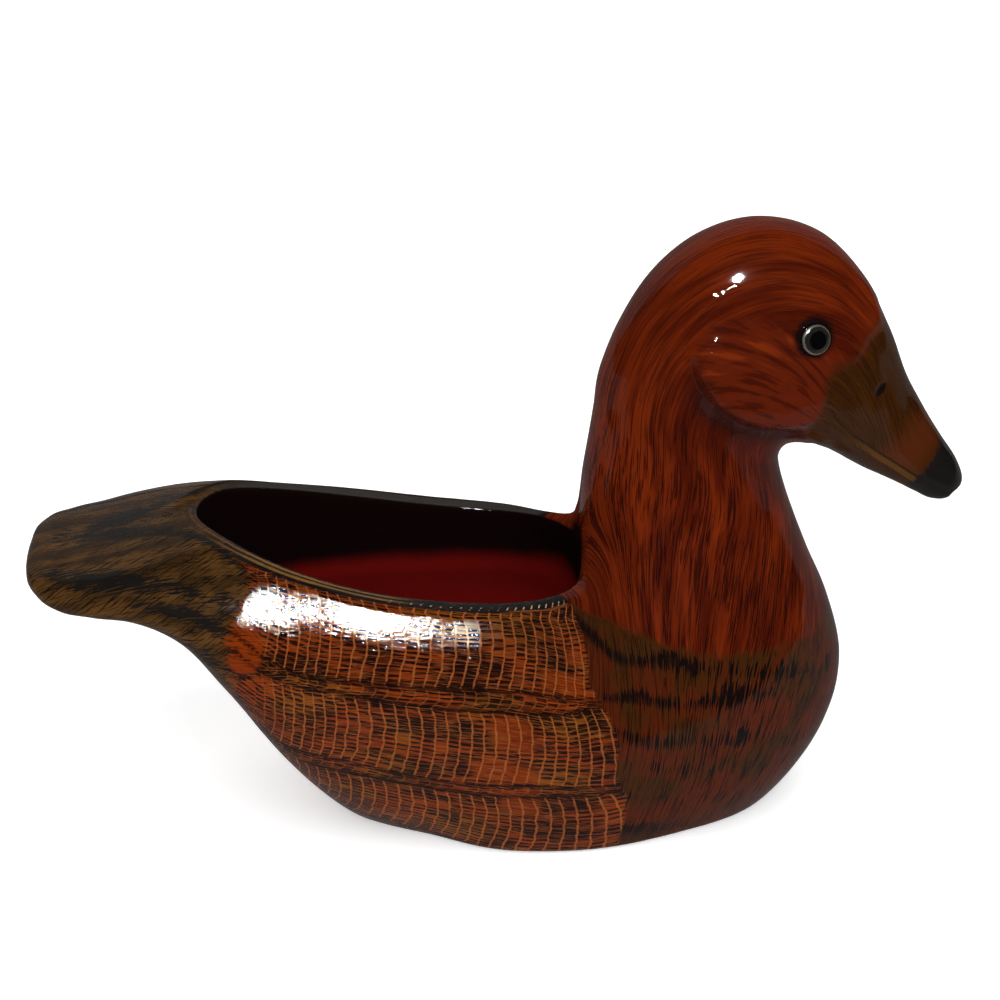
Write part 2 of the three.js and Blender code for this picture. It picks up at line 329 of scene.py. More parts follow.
# How far each point is above the sheer of the lip, within the cut, and which way it faces
def lipDistance(points):
    x, y, z = points.T
    share = (x - sheer["middleX"]) / sheer["span"]
    slope = (sheer["slope"] + 2 * sheer["sag"] * share) / sheer["span"]
    steep = np.sqrt(1 + slope * slope)
    above = (z - rimHeight(x)) / steep
    behindNeck = lip["endX"] - x
    distance, toNeck = smoothMax(-above, -behindNeck, lip["corner"])
    up = np.stack([-slope / steep, np.zeros_like(x), 1 / steep], axis=1)
    back = np.tile([-1.0, 0, 0], (len(x), 1))
    return -distance, blendNormals(toNeck, up, back)


# How far each point is inside the hollow, and the way out of it
def hollowDistance(points, tree):
    distance = np.zeros(len(points))
    normal = np.zeros((len(points), 3))
    x, y, z = points.T
    level = np.clip((z - hollow["floorZ"]) / hollow["fillet"], 0, 1)
    inset = hollow["fillet"] * (1 - np.sqrt(1 - (1 - level) ** 2))
    inside = (z > hollow["floorZ"]) & (np.abs(y) < openingHalfWidth(x, -inset))
    for k, point in enumerate(points):
        location, _, _, gap = tree.find_nearest(Vector(point))
        sign = 1 if inside[k] else -1
        distance[k] = sign * gap
        normal[k] = (Vector(point) - location) * (sign / max(gap, 1e-6))
    return distance, normal


def treeFromGrid(points):
    rows, columns = points.shape[:2]
    faces = [
        (r * columns + c, r * columns + c + 1, (r + 1) * columns + c + 1, (r + 1) * columns + c)
        for r in range(rows - 1)
        for c in range(columns - 1)
    ]
    return BVHTree.FromPolygons([Vector(p) for p in points.reshape(-1, 3)], faces)


# The carved body: cut, remeshed evenly and laid back on the true surfaces with softened edges
def carvedBody():
    grid, alongGrid, girthGrid = carvingGrid()
    body = skinFromGrid("carved_body", grid)
    bm = bmesh.new()
    bm.from_mesh(body.data)
    everything = bm.verts[:] + bm.edges[:] + bm.faces[:]
    bmesh.ops.bisect_plane(bm, geom=everything, plane_co=(0, 0, 0), plane_no=(0, 0, -1), clear_outer=True)
    bmesh.ops.holes_fill(bm, edges=[e for e in bm.edges if e.is_boundary])
    bmesh.ops.triangulate(bm, faces=[f for f in bm.faces if len(f.verts) > 4])
    bm.to_mesh(body.data)
    bm.free()
    cutAway(body, skinFromGrid("lip_cutter", lipGrid()))
    cutAway(body, skinFromGrid("hollow_cutter", hollowGrid()))
    evened = body.modifiers.new("even faces", "REMESH")
    evened.mode = "VOXEL"
    evened.voxel_size = skin["voxel"] * mm
    applyModifiers(body)
    bm = bmesh.new()
    bm.from_mesh(body.data)
    for turn in range(skin["smoothing"]):
        bmesh.ops.smooth_vert(bm, verts=bm.verts, factor=0.5,
                              use_axis_x=True, use_axis_y=True, use_axis_z=True)
    bm.to_mesh(body.data)
    bm.free()
    print("body cut and evened:", len(body.data.polygons), "faces")

    skinTree = treeFromGrid(grid)
    hollowTree = treeFromGrid(hollowGrid())
    points = np.empty(len(body.data.vertices) * 3)
    body.data.vertices.foreach_get("co", points)
    points = points.reshape(-1, 3) / mm
    for turn in range(2):
        along, angle, onSkin, skinNormal = placeOnSkin(points, skinTree, skin["around"])
        outside = ((points - onSkin) * skinNormal).sum(1)
        aboveLip, lipNormal = lipDistance(points)
        inHollow, hollowNormal = hollowDistance(points, hollowTree)
        distance, skinShare = smoothMax(outside, aboveLip, lip["roundOver"])
        normal = blendNormals(skinShare, skinNormal, lipNormal)
        distance, woodShare = smoothMax(distance, inHollow, lip["innerEdge"])
        normal = blendNormals(woodShare, normal, hollowNormal)
        distance, aboveFoot = smoothMax(distance, -points[:, 2], skin["footEdge"])
        normal = blendNormals(aboveFoot, normal, np.tile([0, 0, -1.0], (len(points), 1)))
        points = points - normal * distance[:, None] / np.maximum((normal * normal).sum(1), 0.3)[:, None]
        points[:, 0] = np.maximum(points[:, 0], stations[0][0])
    print("body laid on its surfaces")

    columns = girthGrid.shape[1] - 1
    row = along / fullLength * (skin["along"] - 1)
    column = (angle + math.pi) / (2 * math.pi) * columns
    r = np.clip(row.astype(int), 0, skin["along"] - 2)
    c = np.clip(column.astype(int), 0, columns - 1)
    fr = row - r
    fc = column - c
    girth = (
        girthGrid[r, c] * (1 - fr) * (1 - fc) + girthGrid[r, c + 1] * (1 - fr) * fc
        + girthGrid[r + 1, c] * fr * (1 - fc) + girthGrid[r + 1, c + 1] * fr * fc
    )
    fullGirth = girthGrid[r, -1] * (1 - fr) + girthGrid[r + 1, -1] * fr
    return body, {
        "points": points, "normal": skinNormal, "along": along, "girth": girth, "fullGirth": fullGirth,
        "skin": skinShare * woodShare * aboveFoot, "rim": (1 - skinShare) * woodShare,
        "hollow": 1 - woodShare, "foot": 1 - aboveFoot,
    }


# Lines of the paintwork, as distances along the carving and down its side from the top line
paintLines = {
    # where one paint meets the next: (down the side, along)
    "tailEnd": [(0, 60), (30, 80), (36, 85), (44, 86), (50, 82), (55, 76), (64, 75), (75, 77.5), (90, 75),
                (110, 72), (140, 70), (200, 66)],
    "wingEnd": [(0, 205), (38, 213), (46, 215.5), (54, 216), (63, 213.5), (69, 217), (78, 220), (86, 219.5),
                (95, 216), (107, 217.5), (118, 215), (130, 212), (200, 206)],
    "redStart": [(0, 200), (30, 206), (36, 214), (40, 226), (44, 240), (50, 247), (56, 254), (64, 260),
                 (72, 266), (82, 273), (92, 280), (101, 287), (113, 293), (128, 299), (150, 305), (200, 308)],
    "billStart": [(0, 421), (10, 422), (25, 414), (40, 407.5), (50, 400), (60, 393.5), (68, 390.5), (74, 387),
                  (79, 380), (84, 376.5), (92, 375), (120, 373)],
    "billBand": [(0, 447), (10, 445), (25, 438), (41, 430), (52, 423), (80, 412)],
    "nailStart": [(0, 458), (9, 457), (18, 453.5), (26, 450), (34, 446), (60, 440)],
    # the lengthwise lines of the wing: (along, down the side)
    "wingTop": [(60, 25), (80, 32), (90, 36.5), (100, 38.5), (110, 41), (120, 43.5), (130, 45.7), (140, 47.2),
                (150, 48.2), (165, 48.6), (180, 47.4), (195, 45.3), (210, 42.6), (225, 40)],
    "firstLine": [(60, 52), (80, 57), (90, 63), (100, 67.5), (110, 70), (120, 71.5), (135, 72.8), (150, 72.5),
                  (170, 71.3), (190, 70), (210, 68.8), (225, 68.5)],
    "secondLine": [(60, 57), (80, 63), (90, 68.5), (100, 72), (110, 74.5), (120, 76.3), (135, 78), (150, 79),
                   (170, 78.5), (185, 77.5), (200, 75), (212, 71), (225, 70)],
    "thirdLine": [(60, 90), (80, 95), (95, 99), (110, 101.5), (125, 104), (140, 106.5), (155, 107.3),
                  (172, 106.5), (188, 103.5), (205, 101), (225, 99.5)],
    "fourthLine": [(60, 98), (80, 102), (95, 105), (110, 107.5), (125, 109.5), (140, 111), (155, 111.5),
                   (172, 110.5), (188, 108), (205, 104), (225, 101.5)],
    "fifthLine": [(60, 128), (80, 133), (110, 138), (150, 140), (190, 137), (225, 132)],
    "sixthLine": [(60, 134), (80, 139), (110, 144), (150, 146), (190, 143), (225, 137)],
}

# Dark bands on the breast and tail: (along, down the side, half width, strength)
breastBands = [
    [(210, 39, 2.2, 1), (217, 44, 3, 1), (225, 49, 2.6, 1), (232, 55.5, 2.6, 0.9), (240, 59, 2.4, 0.8),
     (247, 63, 2.4, 0.8), (253, 65.5, 3.2, 1), (259, 68.5, 3.4, 1), (264, 77, 2.8, 0.7), (269, 86, 2.4, 0.5),
     (274, 95, 3, 0.7), (278, 104, 3, 0.7), (281, 116, 3, 0.6), (285, 130, 3, 0.6), (287, 150, 3, 0.6)],
    [(220, 68, 1.5, 0.8), (229, 68.6, 2.2, 0.9), (237, 71, 2.6, 1), (244, 77, 2.3, 0.8), (251, 82.5, 2.3, 0.7),
     (257, 87.5, 3, 0.8), (263, 91, 4.2, 1), (267, 95, 3.2, 0.8), (271, 104, 2.5, 0.6), (273, 116, 2.5, 0.5),
     (275, 140, 2.5, 0.5)],
    [(220, 79, 1.8, 0.7), (227, 84, 3, 0.8), (236, 89, 2.8, 0.7), (245, 95, 2.6, 0.6), (252, 102, 3, 0.7),
     (256, 107, 3.4, 0.8), (260, 116, 2.6, 0.5), (264, 135, 2.5, 0.5)],
    [(219, 91, 2, 0.4), (229, 96, 2.6, 0.6), (236, 102, 2.8, 0.6), (244, 110, 2.6, 0.5), (251, 120, 2.6, 0.5),
     (257, 135, 2.5, 0.4)],
    [(217, 104, 2, 0.6), (226, 110, 2.4, 0.4), (236, 119, 2.4, 0.45), (244, 132, 2.4, 0.4)],
    [(213, 120, 2.5, 0.9), (220, 124, 3.6, 0.9), (228, 130, 2.4, 0.5)],
]
tailBands = [
    [(4, 0, 2.5, 0.3), (14, 2, 3, 0.6), (27, 3.5, 4.2, 0.9), (38, 7, 4.6, 1), (47, 11, 2.8, 0.9),
     (56, 14.5, 2, 0.9), (66, 20, 2, 0.9), (76, 28, 1.7, 1), (84, 34, 1.7, 1), (92, 37, 1.4, 0.9)],
    [(5, 20, 1.5, 0.5), (13, 24, 2.6, 0.8), (21, 28.5, 3.6, 1), (31, 32, 4.2, 1), (40, 35.5, 3.4, 1),
     (50, 39, 2.6, 0.8), (62, 43, 2.2, 0.7), (76, 46.5, 2.6, 0.7), (86, 48.5, 2.6, 0.6)],
    [(40, 44, 1.6, 0.7), (52, 47.5, 2.2, 0.9), (62, 51, 2.6, 0.9), (72, 55, 2.4, 0.9), (79, 58, 1.6, 0.8)],
    [(46, 56, 2.5, 0.6), (58, 62, 3, 0.7), (70, 67, 3, 0.7), (76, 70, 2.5, 0.5)],
    [(20, 66, 3, 0.6), (34, 76, 4, 0.8), (46, 88, 4, 0.8), (58, 104, 4, 0.7), (70, 124, 4, 0.6)],
]

bandFalloff = 0.45

# Patches of the net left without dashes: (from along, to along, from side, to side)
plainPatches = [(193, 211, 61, 67.5), (174, 189, 80, 91), (168, 191, 96.5, 103), (177, 191, 107, 116),
                (204, 213, 53, 58)]

# The paint of the cheek, in shares of its length and height, and its shadow's start down the side
cheekPaint = {"fullTo": 0.7, "end": 0.98, "shadowRing": 0.97, "shadowWidth": 0.17, "shadowStart": (34, 46)}

# How far the strokes on the neck lean: as much as this at one place along, and less ahead of it
strokeLean = {"amount": 79, "at": 222, "fades": 36, "from": 190, "sideFrom": 4, "sideTo": 36}


def lineAt(name, places):
    line = np.array(paintLines[name], float)
    return np.interp(places, line[:, 0], line[:, 1])


def bandDarkness(bands, along, side):
    darkness = np.zeros(len(along))
    for band in bands:
        for first, second in zip(band[:-1], band[1:]):
            start, end = np.array(first[:2], float), np.array(second[:2], float)
            run = end - start
            share = ((along - start[0]) * run[0] + (side - start[1]) * run[1]) / (run @ run)
            share = np.clip(share, 0, 1)
            gap = np.hypot(along - start[0] - run[0] * share, side - start[1] - run[1] * share)
            width = first[2] + (second[2] - first[2]) * share
            strength = first[3] + (second[3] - first[3]) * share
            darkness = np.maximum(darkness, strength * np.exp(-((gap / width) ** 2) * bandFalloff))
    return darkness


# One between two places and nothing outside them, with ends this soft
def between(values, low, high, soft):
    return smoothStep(values, low - soft, low + soft) * smoothStep(-values, -high - soft, -high + soft)


def patchShare(along, side):
    share = np.zeros(len(along))
    for fromAlong, toAlong, fromSide, toSide in plainPatches:
        patch = between(along, fromAlong, toAlong, 1.5) * between(side, fromSide, toSide, 1)
        share = np.maximum(share, patch)
    return share


# Distance in plan from the edge of the opening, less than zero inside it, for what is near the rim's height
def openingGap(points):
    x, y, z = points.T
    gap = np.full(len(points), float(lip["wide"]))
    for edgeX, edgeY in zip(*openingLoop(0, 480)):
        gap = np.minimum(gap, np.hypot(x - edgeX, y - edgeY))
    gap = np.where(np.abs(y) < openingHalfWidth(x, 0), -gap, gap)
    return np.where(z > rimHeight(np.minimum(x, lip["endX"])) - lip["below"], gap, lip["wide"])


# The measures that the paint follows, kept on the body's vertices
def paintMeasures(info):
    along, girth = info["along"], info["girth"]
    side = np.abs(girth)
    hand = np.sign(girth)
    fullness = (info["fullGirth"] / 100) ** smoothStep(along, 300, 380)
    ahead = (np.maximum(along, strokeLean["from"]) - strokeLean["at"]) / strokeLean["fades"]
    sideShare = smoothStep(side, strokeLean["sideFrom"], strokeLean["sideTo"])
    lean = strokeLean["amount"] * np.exp(-ahead) * sideShare
    flow = hand * (side / np.maximum(fullness, 0.12) - lean)
    lines = [lineAt(name, along) for name in
             ("wingTop", "firstLine", "secondLine", "thirdLine", "fourthLine", "fifthLine", "sixthLine")]
    feather = (side - lines[0]) / (lines[1] - lines[0])
    for k in range(1, 6):
        feather = np.where(side > lines[k], k + (side - lines[k]) / (lines[k + 1] - lines[k]), feather)
    feather = np.minimum(feather, 6.9)
    lineGap = np.min([np.abs(side - line) for line in lines[1:]], axis=0)
    ring, left = cheekShares(info["points"][:, 0], info["points"][:, 2])
    # The painted shadow under the cheek's edge, kept as the crease measure
    shadow = left * np.exp(-(((ring - cheekPaint["shadowRing"]) / cheekPaint["shadowWidth"]) ** 2))
    return {
        "plain": patchShare(along, side),
        "cheek": 1 - smoothStep(ring, cheekPaint["fullTo"], cheekPaint["end"]),
        "crease": shadow * smoothStep(side, *cheekPaint["shadowStart"]),
        "along": along, "side": side, "girth": girth, "flow": flow, "feather": feather, "lineGap": lineGap,
        "pastTail": along - lineAt("tailEnd", side), "pastWing": along - lineAt("wingEnd", side),
        "pastRed": along - lineAt("redStart", side), "pastBill": along - lineAt("billStart", side),
        "pastBand": along - lineAt("billBand", side), "pastNail": along - lineAt("nailStart", side),
        "breastDark": bandDarkness(breastBands, along, side),
        "tailDark": bandDarkness(tailBands, along, side),
        "rim": info["rim"], "hollow": info["hollow"], "foot": info["foot"],
        "fromEdge": openingGap(info["points"]),
    }


def keepMeasure(mesh, name, values):
    layer = mesh.attributes.new(name, "FLOAT", "POINT")
    layer.data.foreach_set("value", values.astype(np.float32))


# Finer carving than the cuts: the mouth, nostrils, bill edge, eye hollows and tool marks
finerCarving = {
    "mouth": [(103.5, 145.5), (107.5, 139), (112.1, 134), (123.7, 124.2), (136.2, 114.7), (144.3, 109.3),
              (151.5, 106)],
    "mouthDepth": 0.4, "mouthWidth": 0.9, "chinDrop": 0.5, "billStep": 0.35,
    "nostril": (121.3, 147.9), "nostrilTurn": 48, "nostrilLength": 2.6, "nostrilWidth": 1.1,
    "nostrilDepth": 0.7, "nostrilPaint": (2.2, 1.3),
    "creaseDepth": 0.6, "creaseRing": 0.93, "creaseWidth": 0.07, "toolMarks": 0.14, "toolMarkSize": 17,
}
eye = {
    "x": 98.3, "y": 23.9, "z": 168.4, "yaw": 15.5, "pitch": 12.4, "radius": 5, "dome": 2.1, "girdle": 0.2,
    "bevel": 0.4, "edge": 0.6, "shoulder": 1.4, "stemRadius": 3.5, "stemDepth": 3.2,
    "steps": 40, "domeSteps": 14,
    "hollow": 0.75, "hollowFrom": 4.8, "hollowTo": 7.2, "socket": 3.3, "socketFrom": 3.4, "socketTo": 4.7,
    "reach": 12,
}


def eyeAxis(hand):
    yaw, pitch = math.radians(eye["yaw"]), math.radians(eye["pitch"])
    level = math.cos(pitch)
    return np.array([math.sin(yaw) * level, hand * math.cos(yaw) * level, math.sin(pitch)])


def mouthGap(x, z):
    line = np.array(finerCarving["mouth"])
    level = np.interp(x, line[:, 0], line[:, 1])
    places = np.arange(100.0, 157)
    slope = np.gradient(np.interp(places, line[:, 0], line[:, 1]))
    steep = np.hypot(1, np.interp(x, places, slope))
    return np.where(x < line[0, 0], np.hypot(x - line[0, 0], z - line[0, 1]), (z - level) / steep)


def finerDepth(info, measures):
    points = info["points"]
    x, y, z = points.T
    cut = finerCarving
    onSkin = np.clip(info["skin"], 0, 1)
    gap = mouthGap(x, z)
    onBill = smoothStep(measures["pastBill"], -2, 2) * smoothStep(x, 102, 108)
    depth = -cut["mouthDepth"] * np.exp(-((gap / cut["mouthWidth"]) ** 2)) * smoothStep(x, 102.5, 105)
    depth = depth - cut["chinDrop"] * (1 - smoothStep(gap, -4, 0)) * smoothStep(gap, -14, -5) * onBill
    depth = depth - cut["billStep"] * smoothStep(measures["pastBill"], -0.9, 0.9)
    turn = math.radians(cut["nostrilTurn"])
    dx, dz = x - cut["nostril"][0], z - cut["nostril"][1]
    nostril = np.hypot((dx * math.cos(turn) + dz * math.sin(turn)) / cut["nostrilLength"],
                       (dz * math.cos(turn) - dx * math.sin(turn)) / cut["nostrilWidth"])
    depth = depth - cut["nostrilDepth"] * (1 - smoothStep(nostril, 0.3, 1.2))
    ring, left = cheekShares(x, z)
    crease = left * np.exp(-(((ring - cut["creaseRing"]) / cut["creaseWidth"]) ** 2))
    depth = depth - cut["creaseDepth"] * crease
    for hand in (-1, 1):
        centre = np.array([eye["x"], hand * eye["y"], eye["z"]])
        axis = eyeAxis(hand)
        away = points - centre
        along = away @ axis
        radius = np.linalg.norm(away - along[:, None] * axis, axis=1)
        sunk = eye["hollow"] * (1 - smoothStep(radius, eye["hollowFrom"], eye["hollowTo"]))
        sunk = sunk + eye["socket"] * (1 - smoothStep(radius, eye["socketFrom"], eye["socketTo"]))
        depth = depth - sunk * (np.abs(along) < eye["reach"])
    marks = np.array([noise.fractal(Vector(point), 0.9, 2.0, 2) for point in points / cut["toolMarkSize"]])
    return onSkin * (depth + cut["toolMarks"] * marks)


def buildBody():
    body, info = carvedBody()
    measures = paintMeasures(info)
    depth = finerDepth(info, measures)
    points = (info["points"] + info["normal"] * depth[:, None]) * mm
    points[:, 2] = np.maximum(points[:, 2], 0)
    mesh = body.data
    mesh.vertices.foreach_set("co", points.astype(np.float32).ravel())
    measures["mouth"] = np.clip(mouthGap(info["points"][:, 0], info["points"][:, 2]), -20, 20)
    for name, values in measures.items():
        keepMeasure(mesh, name, values)
    mesh.shade_smooth()
    mesh.update()
    return body, list(measures)


# An eye: a domed glass button with a short stem, turned about its own axis
def buildEye(name, hand):
    outline = [(0, -eye["stemDepth"]), (eye["stemRadius"], -eye["stemDepth"]),
               (eye["stemRadius"], -eye["shoulder"]), (eye["radius"] - eye["bevel"], -eye["edge"]),
               (eye["radius"], -eye["girdle"])]
    for step in range(1, eye["domeSteps"] + 1):
        angle = math.pi / 2 * step / eye["domeSteps"]
        outline.append((eye["radius"] * math.cos(angle), eye["dome"] * math.sin(angle) - eye["girdle"]))
    bm = bmesh.new()
    profile = [bm.verts.new((radius, 0, height)) for radius, height in outline]
    for first, second in zip(profile[:-1], profile[1:]):
        bm.edges.new((first, second))
    bmesh.ops.spin(bm, geom=bm.verts[:] + bm.edges[:], cent=(0, 0, 0), axis=(0, 0, 1), angle=2 * math.pi,
                   steps=eye["steps"], use_merge=True)
    bmesh.ops.remove_doubles(bm, verts=bm.verts, dist=1e-4)
    bmesh.ops.recalc_face_normals(bm, faces=bm.faces)
    axis = Vector(eyeAxis(hand))
    turn = axis.to_track_quat("Z", "Y").to_matrix().to_4x4()
    radii = [math.hypot(v.co.x, v.co.y) for v in bm.verts]
    centre = Vector((eye["x"], hand * eye["y"], eye["z"]))
    bmesh.ops.transform(bm, matrix=turn, verts=bm.verts)
    bmesh.ops.translate(bm, vec=centre, verts=bm.verts)
    bmesh.ops.scale(bm, vec=(mm, mm, mm), verts=bm.verts)
    piece = finishMesh(name, bm)
    keepMeasure(piece.data, "fromMiddle", np.array(radii))
    piece.data.shade_smooth()
    return piece


# Small makers of shader nodes
def addNode(tree, kind, **settings):
    node = tree.nodes.new(kind)
    for name, value in settings.items():
        setattr(node, name, value)
    return node


def join(tree, socket, value):
    if isinstance(value, bpy.types.NodeSocket):
        tree.links.new(value, socket)
    else:
        socket.default_value = value


def calc(tree, operation, *values):
    node = addNode(tree, "ShaderNodeMath", operation=operation)
    for socket, value in zip(node.inputs, values):
        join(tree, socket, value)
    return node.outputs[0]


def plus(tree, first, second):
    return calc(tree, "ADD", first, second)


def minus(tree, first, second):
    return calc(tree, "SUBTRACT", first, second)


def times(tree, first, second):
    return calc(tree, "MULTIPLY", first, second)


def over(tree, first, second):
    return calc(tree, "DIVIDE", first, second)


def timesPlus(tree, first, second, third):
    return calc(tree, "MULTIPLY_ADD", first, second, third)


def larger(tree, first, second):
    return calc(tree, "MAXIMUM", first, second)


def sumOfSquares(tree, first, second):
    return plus(tree, calc(tree, "POWER", first, 2), calc(tree, "POWER", second, 2))


# A soft step from 0 at the first place to 1 at the second, whichever of them is larger
def fade(tree, value, low, high, start=0.0, end=1.0):
    node = addNode(tree, "ShaderNodeMapRange", interpolation_type="SMOOTHSTEP")
    for socket, given in zip(node.inputs, (value, low, high, start, end)):
        join(tree, socket, given)
    return node.outputs[0]


def blend(tree, share, first, second):
    node = addNode(tree, "ShaderNodeMix", data_type="RGBA")
    join(tree, node.inputs[0], share)
    join(tree, node.inputs[6], first)
    join(tree, node.inputs[7], second)
    return node.outputs[2]


def measure(tree, name):
    return addNode(tree, "ShaderNodeAttribute", attribute_name=name).outputs["Fac"]


def vector(tree, x, y, z):
    node = addNode(tree, "ShaderNodeCombineXYZ")
    for socket, value in zip(node.inputs, (x, y, z)):
        join(tree, socket, value)
    return node.outputs[0]


def axesOf(tree, place):
    node = addNode(tree, "ShaderNodeSeparateXYZ")
    join(tree, node.inputs[0], place)
    return node.outputs


def grain(tree, place, scale=1.0, detail=2.0, roughness=0.5):
    node = addNode(tree, "ShaderNodeTexNoise")
    join(tree, node.inputs["Vector"], place)
    for name, value in (("Scale", scale), ("Detail", detail), ("Roughness", roughness)):
        node.inputs[name].default_value = value
    return node.outputs[0]


def chance(tree, place):
    node = addNode(tree, "ShaderNodeTexWhiteNoise", noise_dimensions="3D")
    join(tree, node.inputs[0], place)
    return node.outputs["Value"]


def bump(tree, height, depth):
    node = addNode(tree, "ShaderNodeBump")
    node.inputs["Strength"].default_value = 0.5
    node.inputs["Distance"].default_value = depth * mm
    join(tree, node.inputs["Height"], height)
    return node.outputs[0]


def newFinish(name):
    finish = bpy.data.materials.new(name)
    finish.use_nodes = True
    finish.node_tree.nodes.clear()
    return finish, finish.node_tree


def endFinish(tree, shader):
    output = addNode(tree, "ShaderNodeOutputMaterial")
    join(tree, output.inputs[0], shader.outputs[0])


# A screen colour, of 0 to 255, as the linear light that a shader takes
def paint(*screen):
    shares = [value / 255 for value in screen]
    return tuple(((c + 0.055) / 1.055) ** 2.4 if c > 0.04 else c / 12.92 for c in shares) + (1,)


# How far a place is from another (along, down the side), squared, with half lengths as the unit
def awaySquared(tree, m, place, halves):
    ahead = over(tree, minus(tree, m["along"], place[0]), halves[0])
    down = over(tree, minus(tree, m["side"], place[1]), halves[1])
    return sumOfSquares(tree, ahead, down)


# A patch round a place, full out to a share of its half lengths
def spot(tree, m, place, halves, full):
    return fade(tree, calc(tree, "SQRT", awaySquared(tree, m, place, halves)), 1, full)


# Brush marks in millimetres: the measure they're packed across, length, width and place in the noise
brushes = {
    "fine": ("flow", 15, 0.55, 0), "hatch": ("flow", 7, 0.75, 3.7), "streak": ("flow", 34, 7, 51),
    "tone": ("flow", 16, 1.6, 57), "drawn": ("flow", 26, 5, 11), "sweep": ("girth", 8, 0.7, 19),
    "ragged": ("girth", 3, 0.6, 61), "dragged": ("girth", 12, 0.5, 7.1), "scratch": ("girth", 9, 0.4, 41),
    "smear": ("girth", 14, 1.6, 23), "rim": ("fromEdge", 12, 0.6, 29),
}
# Brush marks that lie askew, and softer patches of the side: length, width and place in the noise
daubs = (16, 2.4, 91)
barbs = (9, 0.7, 83)
clouds = {
    "wobble": (9, 5, 5), "drift": (6, 3, 9), "heavy": (26, 9, 2), "gold": (30, 14, 12), "wear": (1, 3, 71),
    "breast": (16, 16, 3), "tail": (22, 7, 17),
}


def strokes(tree, along, across, length, width, shift):
    place = vector(tree, over(tree, along, length), over(tree, across, width), shift)
    return grain(tree, place, roughness=0.55)


def brushed(tree, m, name):
    across, *size = brushes[name]
    return strokes(tree, m["along"], m[across], *size)


def clouded(tree, m, name):
    length, width, shift = clouds[name]
    return grain(tree, vector(tree, over(tree, m["along"], length), over(tree, m["girth"], width), shift))


# A border moved to and fro by brush marks
def frayed(tree, marks, reach, border):
    return timesPlus(tree, minus(tree, marks, 0.5), reach, border)


paintColours = {
    "redDeep": paint(64, 16, 5), "redBright": paint(103, 34, 9), "redStroke": paint(32, 7, 5),
    "cheekRed": paint(81, 25, 9), "cheekGlow": paint(108, 38, 10),
    # The crease colours are a painted shadow and a painted sheen
    "creaseShadow": paint(36, 14, 11), "paintedCreaseSheen": paint(66, 42, 38),
    "rust": paint(72, 27, 9), "olive": paint(54, 30, 9), "ink": paint(12, 9, 9),
    "netBrown": paint(68, 25, 9), "netOrange": paint(114, 43, 10), "netGold": paint(108, 62, 17),
    "netLine": paint(142, 78, 38), "netDash": paint(17, 9, 7), "emberPatch": paint(118, 44, 9),
    "tailOlive": paint(52, 35, 17), "tailGold": paint(84, 56, 26), "tailBand": paint(22, 21, 20),
    "billOlive": paint(56, 29, 7), "billDeep": paint(41, 20, 6), "billBand": paint(76, 33, 14),
    "billNail": paint(22, 20, 19), "billEdge": paint(88, 56, 18),
    # The darker hollow colour is painted shade on the walls
    "hollowRed": paint(84, 11, 8), "hollowWallShade": paint(18, 7, 7),
    # The grey of the rim is a painted sheen
    "rimBlack": paint(19, 17, 16), "rimSheen": paint(58, 54, 51), "rimWorn": paint(74, 36, 26),
    "rimGold": paint(124, 86, 36), "foot": paint(30, 20, 14), "dot": paint(190, 166, 132),
}


def mixed(tree, share, first, second):
    return blend(tree, share, paintColours[first], paintColours[second])


# A coat of one colour over what is there
def lay(tree, ground, name, share, strength=1.0):
    return blend(tree, times(tree, share, strength), ground, paintColours[name])


# The net on the wing: its lines, the rows of dashes between them and the bare ember by the tail
net = {
    "pitch": 4.2, "rows": 16, "narrowRows": 4, "apex": 0.3, "leanBelow": 3.2, "leanAbove": 1.4,
    "featherShift": 1.7, "lineHalf": 0.3, "raggedness": 0.9, "lineEdge": (0.12, -0.1), "narrowFainter": 0.6,
    "wobble": 2.2, "startWobble": 14, "start": (92, 108), "rowJitter": 0.35, "rowDrift": 0.8,
    "dashThick": 0.14, "dashVaries": 0.2, "dashHeavier": 0.16, "topEdge": 6.8, "brushRelief": 1.7,
}
ember = {"place": (83, 62.5), "halves": (9, 8), "frayed": 0.8, "edge": (1.6, 1.0), "strength": 0.85}


def netLines(tree, m, wobble, ragged, feather, down, narrow):
    below = larger(tree, minus(tree, down, net["apex"]), 0)
    above = larger(tree, minus(tree, net["apex"], down), 0)
    lean = times(tree, calc(tree, "POWER", below, 2), net["leanBelow"] / (1 - net["apex"]) ** 2)
    lean = timesPlus(tree, calc(tree, "POWER", above, 2), net["leanAbove"] / net["apex"] ** 2, lean)
    run = plus(tree, plus(tree, m["along"], lean), times(tree, feather, net["featherShift"]))
    run = over(tree, timesPlus(tree, wobble, net["wobble"], run), net["pitch"])
    fromLine = times(tree, calc(tree, "PINGPONG", run, 0.5), net["pitch"])
    half = timesPlus(tree, ragged, net["raggedness"], net["lineHalf"] - net["raggedness"] / 2)
    line = fade(tree, minus(tree, fromLine, half), *net["lineEdge"])
    line = times(tree, line, timesPlus(tree, narrow, -net["narrowFainter"], 1))
    started = fade(tree, timesPlus(tree, wobble, net["startWobble"], m["along"]), *net["start"])
    return times(tree, line, started), calc(tree, "FLOOR", run)


